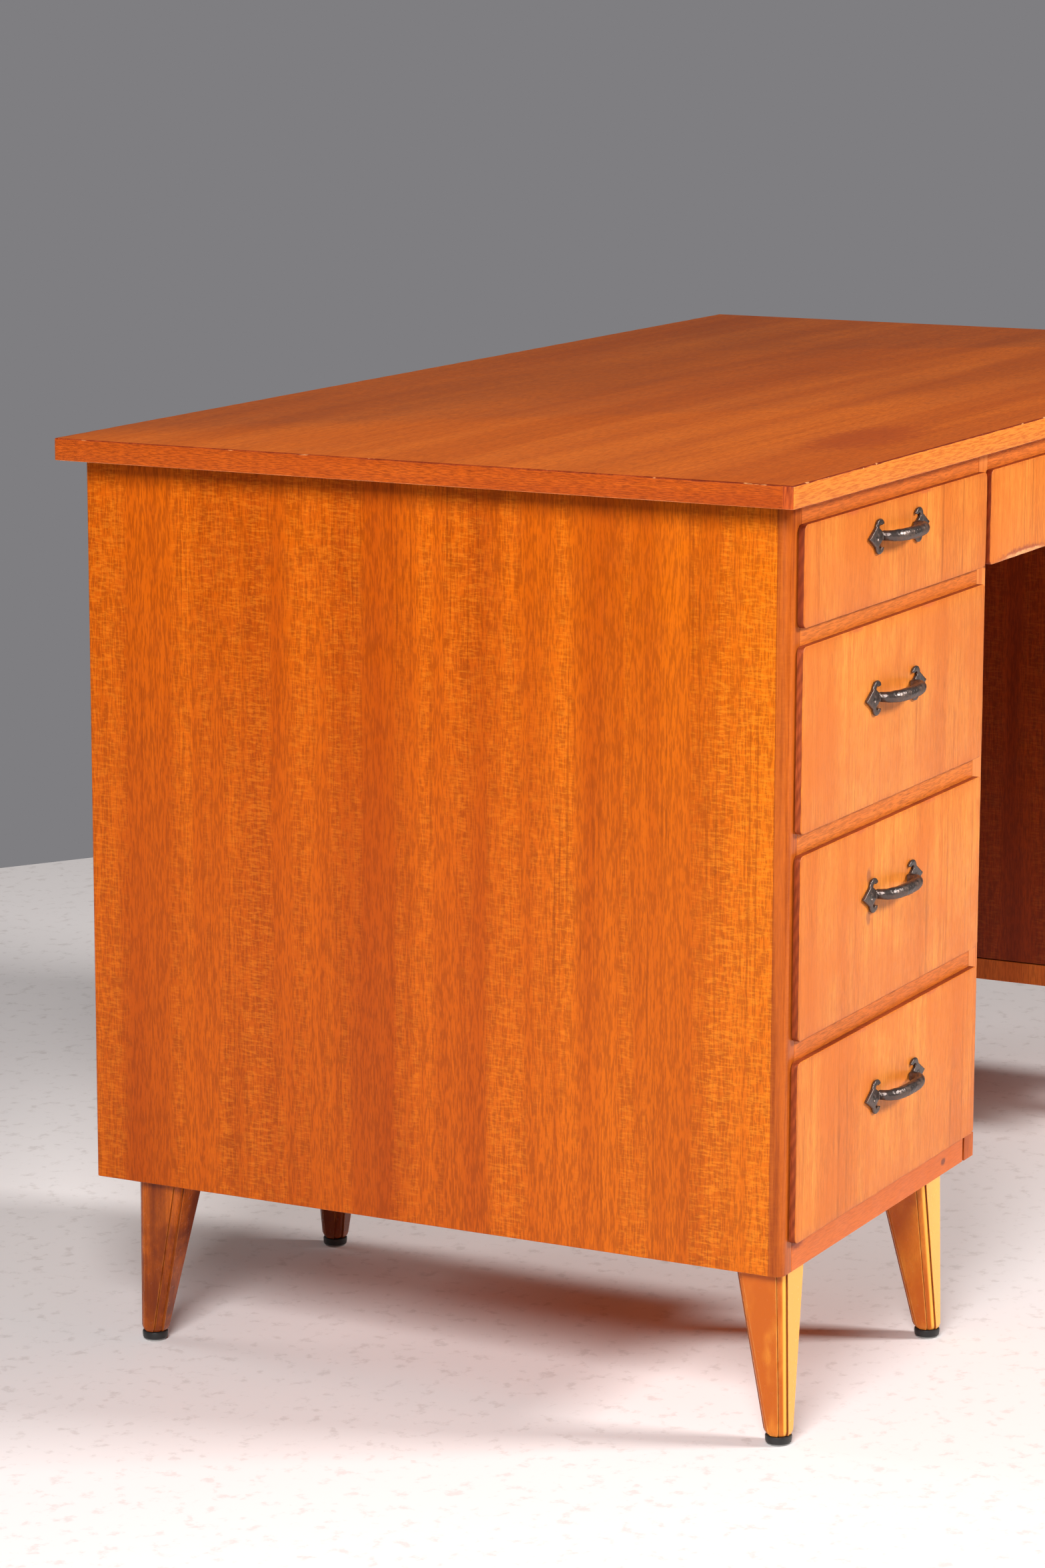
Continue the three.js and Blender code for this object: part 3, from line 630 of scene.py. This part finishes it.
# ==== fronts ====
def build_front(node, number):
    """A lipped front: thin proud lip with rounded corners, thicker board inside the opening."""
    points = [v.co for v in nodes[node].data.vertices]
    lo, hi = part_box(node)
    lip_back = FRAME_FRONT - LIP_GAP
    behind = [p for p in points if p.y > lip_back + 2 * MM]
    inner = (min(p.x for p in behind), max(p.x for p in behind),
             min(p.z for p in behind), max(p.z for p in behind))
    lip = rect_of(lo, hi, "y")
    cuts = [max(4, round(length / (8 * MM))) for length in (lip[1] - lip[0], lip[3] - lip[2])]
    corner, hard = (5 * MM,) * 4, (1 * MM,) * 4
    rings = softened(inner, hard, hi.y, -1, 0.8 * MM, cuts)[::-1]
    step = len(rings)
    rings.append([(u, v, lip_back) for u, v in rounded(inner, hard, 0, cuts)])
    rings += softened(lip, corner, lip_back, -1, 0.4 * MM, cuts, steps=2)[::-1]
    rings += softened(lip, corner, lo.y, 1, 0.9 * MM, cuts, 0.8, 90)
    bands = [2] * step + [1] * (len(rings) - 1 - step)
    bands[-3:] = [0, 0, 0]
    front = skin(f"{node}_veneered", turned(rings, "y"), ["front", "front_edge", "inside"], bands, (2, 0))
    stands_for(front, "front_veneer", node, number=number)


# ==== legs ====
def beaded(square, moulding, step, level):
    """A square with a sunk quarter-round bead down each corner: moulding is how far the bead
    reaches from the corner, and step how deep it is sunk."""
    x0, x1, y0, y1 = square
    points = []
    for corner, (cx, cy) in enumerate([(x0, y0), (x1, y0), (x1, y1), (x0, y1)]):
        a = corner * math.pi / 2
        ease = 0.25 * MM
        local = [(0, moulding + ease), (ease, moulding), (step, moulding - 0.1 * MM)]
        r = moulding - step
        for i in range(1, 10):
            b = math.pi * (1 + i / 20)
            local.append((moulding + r * math.cos(b), moulding + r * math.sin(b)))
        local += [(v, u) for u, v in local[2::-1]]
        c, s = math.cos(a), math.sin(a)
        points += [(cx + u * c - v * s, cy + u * s + v * c, level) for u, v in local]
    return points


def build_leg(node, number):
    """Tapered leg, set on its own two end squares, with a softened foot, and its cap."""
    points = [v.co for v in nodes[node].data.vertices]
    lo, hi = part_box(node)

    def square(z):
        near = [p for p in points if abs(p.z - z) < MM]
        xs, ys = [p.x for p in near], [p.y for p in near]
        return min(xs), max(xs), min(ys), max(ys)

    foot, head = square(lo.z), square(hi.z)
    rings = []
    soft_end = 0.03                # share of the height over which the foot is eased
    for t in [0, 0.004, 0.012, soft_end] + [i / 24 for i in range(1, 25)]:
        level = lo.z + (hi.z - lo.z) * t
        ease = 1.2 * MM * max(0.0, 1 - t / soft_end) ** 2
        x0, x1, y0, y1 = [a + (b - a) * t for a, b in zip(foot, head)]
        sway = 0.12 * MM * noise.noise(Vector((lo.x * 40, lo.y * 40, level * 45)))
        between = (x0 + ease + sway, x1 - ease + sway, y0 + ease, y1 - ease)
        rings.append(beaded(between, (6.2 + 0.8 * t) * MM, 1.6 * MM, level))
    # back legs take the darker finish, partly painted shade
    finish = "dark_leg_painted_shade" if "back" in node else "leg"
    leg = skin(f"{node}_turned", rings, [finish, "leg_groove_painted_shade"], sharp=24)
    # the step down to the bead, on both sides of each corner, is painted dark: painted shade in the groove
    corner = len(rings[0]) // 4
    for face in list(leg.data.polygons)[:corner * 4 * (len(rings) - 1)]:
        if face.index % corner in (1, corner - 3):
            face.material_index = 1
    stands_for(leg, "leg_wood", node, number=number)

    cap_lo, cap_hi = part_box(f"{node}_cap")
    centre = (cap_lo + cap_hi) / 2
    r, h = (cap_hi.x - cap_lo.x) / 2, cap_hi.z
    profile = [(r - 2.2 * MM, 0), (r - 1.6 * MM, 0.3 * MM), (r - 1.5 * MM, 1.4 * MM),
               (r - 0.9 * MM, 1.5 * MM), (r - 0.5 * MM, 1.9 * MM), (r - 0.1 * MM, h * 0.55),
               (r, h - 1.2 * MM), (r - 0.3 * MM, h - 0.4 * MM), (r - 1.1 * MM, h)]
    cap = skin(f"{node}_cap_moulded", lathe(profile, centre), ["cap", "glide"], [1, 1, 1] + [0] * 5, (1, 0))
    stands_for(cap, "cap_plastic", f"{node}_cap")


def lathe(profile, centre, sides=32):
    """Rings round an upright axis through centre from (radius, level) pairs."""
    turns = [2 * math.pi * i / sides for i in range(sides)]
    return [[(centre.x + r * math.cos(a), centre.y + r * math.sin(a), z) for a in turns] for r, z in profile]


# ==== ironwork ====
GRIP_ROOT = 33 * MM                # from a handle's middle to the foot of its grip
GRIP_RADIUS = 5.1 * MM             # at the middle of the bow
PLATE_THICK = 2.5 * MM
SCREW_AT = 46 * MM                 # from a handle's middle to each screw
SCREW_WELL = 3.1 * MM              # radius of the sunk place round each screw
CURL_STEPS = 16
# half of a plate's outline and a barb's middle line, in mm from the handle's middle
SPEAR = [(61, 0), (54.2, 3.9), (47.6, 7.9), (44, 7.6), (40.5, 6.2), (36, 3.6), (32, 2.8)]
CURL = [(44.8, 4.5), (44.4, 8.6), (42.2, 11.2), (38.6, 11.7), (35.4, 10.6), (34.8, 8.9)]


def heading(path, i):
    """Which way a path of (u, v, w) points runs at one of them."""
    return (Vector(path[min(i + 1, len(path) - 1)]) - Vector(path[max(i - 1, 0)])).normalized()


def swept(path, widths, depth_share, sides):
    """Rings of an ellipse carried along a flat path of (u, v, w) points; widths are half sizes."""
    rings = []
    for i, p in enumerate(path):
        ahead = heading(path, i)
        across = Vector((0, 1, 0)) if abs(ahead.y) < 0.9 else Vector((1, 0, 0))
        across = (across - ahead * across.dot(ahead)).normalized()
        up = ahead.cross(across)
        rings.append([Vector(p) + across * widths[i] * math.cos(a)
                      + up * widths[i] * depth_share * math.sin(a)
                      for a in (2 * math.pi * k / sides for k in range(sides))])
    return rings


def curl_path(side, up):
    """Barb: leaves the plate's corner, rises and curls back towards the grip, smooth through CURL."""
    last = len(CURL) - 1
    curve = []
    for i in range(CURL_STEPS + 1):
        t = i / CURL_STEPS * last
        k = min(int(t), last - 1)
        f = t - k
        p = [CURL[max(0, min(last, k + d))] for d in (-1, 0, 1, 2)]
        curve.append(tuple(0.5 * (2 * p[1][a] + (p[2][a] - p[0][a]) * f
                                  + (2 * p[0][a] - 5 * p[1][a] + 4 * p[2][a] - p[3][a]) * f * f
                                  + (3 * p[1][a] - p[0][a] - 3 * p[2][a] + p[3][a]) * f ** 3)
                           for a in (0, 1)))
    return [(side * u * MM, up * v * MM) for u, v in curve]


def flat_solid(outline, low, high, ease=0.5 * MM):
    """Rings of a flat plate from an outline in (u, v), its top edge eased."""
    centre = [sum(p[k] for p in outline) / len(outline) for k in (0, 1)]

    def shrunk(by):
        ring = []
        for u, v in outline:
            d = Vector((u - centre[0], v - centre[1]))
            scale = max(0.0, 1 - by / d.length)
            ring.append((centre[0] + d.x * scale, centre[1] + d.y * scale))
        return ring

    return [[(u, v, low) for u, v in shrunk(0)], [(u, v, high - ease) for u, v in shrunk(0)],
            [(u, v, high) for u, v in shrunk(ease)]]


def make_handle_mesh(reach):
    """One cast body: spear plates, curled barbs and a bowed grip, hammered all over.
    The handle lies along X and its plates back on to the plane Z = 0, with the grip towards +Z."""
    parts = []
    for side in (-1, 1):
        both_halves = SPEAR + [(u, -v) for u, v in SPEAR[:0:-1]]
        outline = [(side * u * MM, v * MM) for u, v in both_halves]
        parts.append(flat_solid(outline, 0, PLATE_THICK))
        for up in (-1, 1):
            path = [(u, v, PLATE_THICK * 0.5) for u, v in curl_path(side, up)]
            # the barb thins towards its tip, which ends in a small knob
            widths = [(2.9 - 1.0 * i / CURL_STEPS + (0.5 if i > CURL_STEPS - 3 else 0)) * MM
                      for i in range(len(path))]
            parts.append(flattened(path, widths))
    steps, foot, peak = 40, 1.2 * MM, reach - GRIP_RADIUS
    path, widths = [], []
    for i in range(steps + 1):
        a = math.pi * i / steps
        u = -GRIP_ROOT * math.copysign(abs(math.cos(a)) ** 0.8, math.cos(a))
        path.append((u, 0, foot + (peak - foot) * math.sin(a) ** 0.72))
        widths.append(GRIP_RADIUS * (0.8 + 0.2 * math.sin(a)))
    parts.append(swept(path, widths, 0.92, 20))
    rough = [skin(f"handle_part_{i}", rings, ["iron"]) for i, rings in enumerate(parts)]
    return cast_together(rough, reach)


def flattened(path, widths, sides=12):
    """Rings of a rounded flat bar, as thick as the plate, along a path in the plate's plane."""
    rings = []
    for i, p in enumerate(path):
        ahead = heading(path, i)
        across = Vector((-ahead.y, ahead.x, 0))
        ring = []
        for k in range(sides):
            a = 2 * math.pi * (k + 0.5) / sides
            c, s = math.cos(a), math.sin(a)
            ring.append(Vector(p) + across * widths[i] * math.copysign(abs(c) ** 0.6, c)
                        + Vector((0, 0, 1)) * PLATE_THICK / 2 * math.copysign(abs(s) ** 0.6, s))
        rings.append(ring)
    return rings


def cast_together(parts, reach):
    """The parts run into one another as one skin, then dented by the hammer."""
    work = bmesh.new()
    for part in parts:
        work.from_mesh(part.data)
        bpy.data.objects.remove(part)
    mesh = bpy.data.meshes.new("handle_rough")
    work.to_mesh(mesh)
    work.free()
    rough = bpy.data.objects.new("handle_rough", mesh)
    bpy.context.scene.collection.objects.link(rough)
    cast = rough.modifiers.new("cast", "REMESH")
    cast.mode, cast.voxel_size = "VOXEL", 0.42 * MM
    ease = rough.modifiers.new("ease", "SMOOTH")
    ease.factor, ease.iterations = 0.5, 2
    done = bpy.data.meshes.new_from_object(rough.evaluated_get(bpy.context.evaluated_depsgraph_get()))
    bpy.data.objects.remove(rough)
    done.name = "handle_casting"
    for vertex, normal in zip(done.vertices, [v.normal.copy() for v in done.vertices]):
        p = vertex.co
        grip = min(1.0, max(0.0, (p.z - PLATE_THICK) / (3 * MM)))
        dent = noise.noise(p * 170) * 0.24 + noise.noise(p * 520) * 0.12
        vertex.co = p + normal * dent * MM * (0.35 + 0.65 * grip)
        far = math.hypot(abs(p.x) - SCREW_AT, p.y)
        if p.z > PLATE_THICK * 0.6 and far < SCREW_WELL:
            vertex.co.z -= 0.9 * MM * min(1.0, (SCREW_WELL - far) / (0.8 * MM))
        vertex.co.z = min(max(vertex.co.z, 0.0), reach)
    for face in done.polygons:
        face.use_smooth = True
    done.materials.append(finishes["iron"])
    return done


def make_screw_mesh():
    """Slotted countersunk screw head, its slot a sunk groove across a low dome."""
    side, groove, r = 24, 0.35 * MM, 2.3 * MM      # squares each way, half the slot, radius
    work = bmesh.new()
    rows = []
    for i in range(side + 1):
        row = []
        for j in range(side + 1):
            u, v = 2 * i / side - 1, 2 * j / side - 1
            x, y = r * u * math.sqrt(1 - v * v / 2), r * v * math.sqrt(1 - u * u / 2)
            dome = 0.5 * MM * (1 - (x * x + y * y) / r ** 2)
            slot = 0.5 * MM if abs(y) < groove else 0.0
            row.append(work.verts.new((x, y, dome - slot)))
        rows.append(row)
    for i in range(side):
        for j in range(side):
            work.faces.new((rows[i][j], rows[i + 1][j], rows[i + 1][j + 1], rows[i][j + 1]))
    edge = [e for e in work.edges if e.is_boundary]
    wall = bmesh.ops.extrude_edge_only(work, edges=edge)["geom"]
    for v in (g for g in wall if isinstance(g, bmesh.types.BMVert)):
        v.co = Vector((v.co.x * 0.6, v.co.y * 0.6, -1.0 * MM))
    bmesh.ops.holes_fill(work, edges=[e for e in work.edges if e.is_boundary])
    bmesh.ops.recalc_face_normals(work, faces=work.faces)
    mesh = bpy.data.meshes.new("screw_head")
    work.to_mesh(mesh)
    work.free()
    mesh.materials.append(finishes["screw"])
    return mesh


def place(name, mesh, matrix):
    """A new object that shows a mesh at a place."""
    piece = bpy.data.objects.new(name, mesh)
    piece.matrix_world = matrix
    bpy.context.scene.collection.objects.link(piece)
    return piece


def build_handle(node, casting, screw, number):
    """A casting and its two screws on one front, level on a drawer and upright on the door."""
    lo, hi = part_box(node)
    upright = hi.z - lo.z > hi.x - lo.x
    at = Vector(((lo.x + hi.x) / 2, hi.y, (lo.z + hi.z) / 2))
    stand = Matrix.Translation(at) @ Matrix.Rotation(math.radians(90), 4, "X")
    if upright:
        stand = stand @ Matrix.Rotation(math.radians(90), 4, "Z")
    body = nodes[node]["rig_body"]
    stands_for(place(f"{node}_cast", casting, stand), "iron", node, number=number)
    for end, side in (("left", -1), ("right", 1)):
        turn = Matrix.Rotation(math.radians(35 * number + 70 * side), 4, "Z")
        seat = stand @ Matrix.Translation((side * SCREW_AT, 0, PLATE_THICK - 0.75 * MM)) @ turn
        goes_with(place(f"{node}_{end}_screw", screw, seat), body)


def build_hinge(node):
    """Butt hinge knuckles with joints between them and a small button at each end."""
    lo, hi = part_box(node)
    centre = (lo + hi) / 2
    r = (hi.x - lo.x) / 2
    length = hi.z - lo.z
    profile = [(r * 0.35, 0), (r * 0.75, 0.4 * MM), (r * 0.85, 1.2 * MM), (r * 0.6, 2 * MM)]
    knuckles = 3
    span = (length - 4 * MM) / knuckles
    for k in range(knuckles):
        start = 2 * MM + k * span
        profile += [(r * 0.8, start + 0.1 * MM), (r, start + 0.5 * MM), (r, start + span - 0.5 * MM),
                    (r * 0.8, start + span - 0.1 * MM)]
    profile += [(r * 0.6, length - 2 * MM), (r * 0.85, length - 1.2 * MM), (r * 0.75, length - 0.4 * MM),
                (r * 0.35, length)]
    rings = lathe([(radius, lo.z + z) for radius, z in profile], centre, 24)
    stands_for(skin(f"{node}_knuckles", rings, ["brass"]), "hinge_brass", node)


# ==== boards that stay as they are ====
def dress_board(node, finish, number):
    """Gives a plain board its wood and eases its edges."""
    board = nodes[node]
    board.data.materials.clear()
    board.data.materials.append(finishes[finish])
    board.pass_index = number
    weld = board.modifiers.new("close_seams", "WELD")
    weld.merge_threshold = 0.01 * MM
    flat = board.modifiers.new("whole_faces", "DECIMATE")
    flat.decimate_type, flat.angle_limit = "DISSOLVE", math.radians(2)
    soft = board.modifiers.new("eased_edges", "BEVEL")
    soft.width, soft.segments, soft.limit_method = 0.7 * MM, 3, "ANGLE"
    soft.angle_limit = math.radians(30)


# ==== setting ====
def build_floor():
    """A plain pale floor that ends at a slanting line behind the desk."""
    on_far_edge, slant = Vector((0.92, 1.45, 0)), math.radians(-32)
    side, depth = 14, 16
    stand = Matrix.Translation(on_far_edge) @ Matrix.Rotation(slant, 4, "Z")
    corners = [(-side, -depth), (side, -depth), (side, 0), (-side, 0)]
    mesh = bpy.data.meshes.new("floor")
    mesh.from_pydata([stand @ Vector((x, y, 0)) for x, y in corners], [], [(0, 1, 2, 3)])
    material, tree, shader = start_material("studio_floor")
    here = tree.nodes.new("ShaderNodeTexCoord").outputs["Object"]
    scuffs = smooth(tree, cloud(tree, here, (60, 60, 60), 4.0, 0.65), 0.54, 0.68)
    broad = cloud(tree, here, (1.5, 1.5, 1.5), 3.0)
    colour = mixed(tree, broad, linear((236, 230, 229)), linear((224, 217, 216)))
    tree.links.new(mixed(tree, maths(tree, "MULTIPLY", scuffs, 0.4), colour, linear((190, 180, 176))),
                   shader.inputs["Base Color"])
    shader.inputs["Roughness"].default_value = 0.6
    mesh.materials.append(material)
    floor = bpy.data.objects.new("floor", mesh)
    bpy.context.scene.collection.objects.link(floor)


def area_light(name, at, target, size, power, colour=(1, 1, 1)):
    """A soft rectangular light, in watts, turned to face its target."""
    lamp = bpy.data.lights.new(name, "AREA")
    lamp.shape, lamp.size, lamp.size_y = "RECTANGLE", size[0], size[1]
    lamp.energy, lamp.color = power, colour
    light = bpy.data.objects.new(name, lamp)
    light.location = at
    light.rotation_euler = (Vector(target) - Vector(at)).to_track_quat("-Z", "Y").to_euler()
    bpy.context.scene.collection.objects.link(light)


def build_lights():
    """A soft light in front, a weaker one at the left, a faint one behind, and a dim even surround."""
    area_light("front_light", at=(0.95, -3.6, 2.6), target=(-0.1, 0, 0.4), size=(1.0, 0.8), power=193,
               colour=(1, 0.985, 0.965))
    area_light("left_light", at=(-3.5, -0.9, 2.5), target=(-0.5, 0, 0.4), size=(1.5, 1.3), power=172)
    area_light("rear_light", at=(-0.8, 4.4, 2.6), target=(-0.2, 0, 0.3), size=(2.0, 1.4), power=46)
    surround, reflected = 0.09, 0.07       # strength on surfaces, and as seen in a glossy one
    world = bpy.data.worlds.new("studio")
    bpy.context.scene.world = world
    world.use_nodes = True
    tree = world.node_tree
    tree.nodes.clear()
    path = tree.nodes.new("ShaderNodeLightPath").outputs
    even = smooth(tree, path["Is Glossy Ray"], 0.0, 1.0, surround, reflected)
    seen = add(tree, "ShaderNodeBackground", {"Color": linear((127, 126, 129)), "Strength": 1.0})
    lit = add(tree, "ShaderNodeBackground", {"Color": (1, 0.99, 0.98, 1), "Strength": even})
    both = add(tree, "ShaderNodeMixShader", {0: path["Is Camera Ray"], 1: lit.outputs[0], 2: seen.outputs[0]})
    out = tree.nodes.new("ShaderNodeOutputWorld")
    tree.links.new(both.outputs[0], out.inputs[0])


def build_camera():
    """Eye height, well off to the left and looking a little down along the desk."""
    turn, tilt, roll = math.radians(62.81), math.radians(10.98), math.radians(0.13)
    level = Vector((math.sin(turn), math.cos(turn), 0))
    right = Vector((math.cos(turn), -math.sin(turn), 0))
    ahead = level * math.cos(tilt) - Vector((0, 0, math.sin(tilt)))
    up = Vector((0, 0, math.cos(tilt))) + level * math.sin(tilt)
    right, up = right * math.cos(roll) + up * math.sin(roll), up * math.cos(roll) - right * math.sin(roll)
    eye = Vector((top_lo.x - 3.0650, top_lo.y - 1.3491, 1.1836))
    focal_length, sensor, far_limit = 104.33, 36, 60
    camera = bpy.data.objects.new("camera", bpy.data.cameras.new("camera"))
    camera.matrix_world = Matrix((right, up, -ahead)).transposed().to_4x4()
    camera.location = eye
    camera.data.lens, camera.data.sensor_width = focal_length, sensor
    camera.data.clip_end = far_limit
    bpy.context.scene.collection.objects.link(camera)
    bpy.context.scene.camera = camera


# ==== the desk ====
# The number given to a piece seeds its grain; boards of one finish share theirs.
build_camera()
build_lights()
build_floor()
bpy.context.scene.view_settings.view_transform = "Standard"

build_top()
build_outer_side("left", 2)
build_outer_side("right", 3)
for number, node in enumerate(["drawer_1_front", "drawer_2_front", "drawer_3_front", "drawer_4_front",
                               "centre_drawer_front", "cupboard_door"], 4):
    build_front(node, number)
for number, (side, row, place_in) in enumerate(
        [(s, r, p) for s in ("left", "right") for r in ("front", "back") for p in ("outer", "inner")], 10):
    build_leg(f"{side}_{row}_{place_in}_leg", number)

handle_nodes = [name for name in nodes if name.endswith("_handle")]
handle_lo, handle_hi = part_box("drawer_1_handle")
casting, screw_head = make_handle_mesh(handle_hi.y - handle_lo.y), make_screw_mesh()
for number, node in enumerate(sorted(handle_nodes)):
    build_handle(node, casting, screw_head, number)
for node in ("door_hinge_lower", "door_hinge_upper"):
    build_hinge(node)

BOARDS = {
    "inner": ["left_inner_side", "right_inner_side", "modesty_panel"],
    "rail": ["left_bottom_rail", "left_top_rail", "kneehole_top_rail", "right_top_rail",
             "left_runner_frame_1", "left_runner_frame_2", "left_runner_frame_3"],
    "rail_end": ["left_bottom_board", "right_bottom_board"],
    "runner": ["centre_runner_left", "centre_runner_right"],
    "inside": ["left_back_panel", "right_back_panel", "cupboard_shelf"]
    + [name for name in nodes if name.endswith(("_box", "_bottom"))],
}
for number, (finish, names) in enumerate(BOARDS.items(), 20):
    for name in names:
        dress_board(name, finish, number)
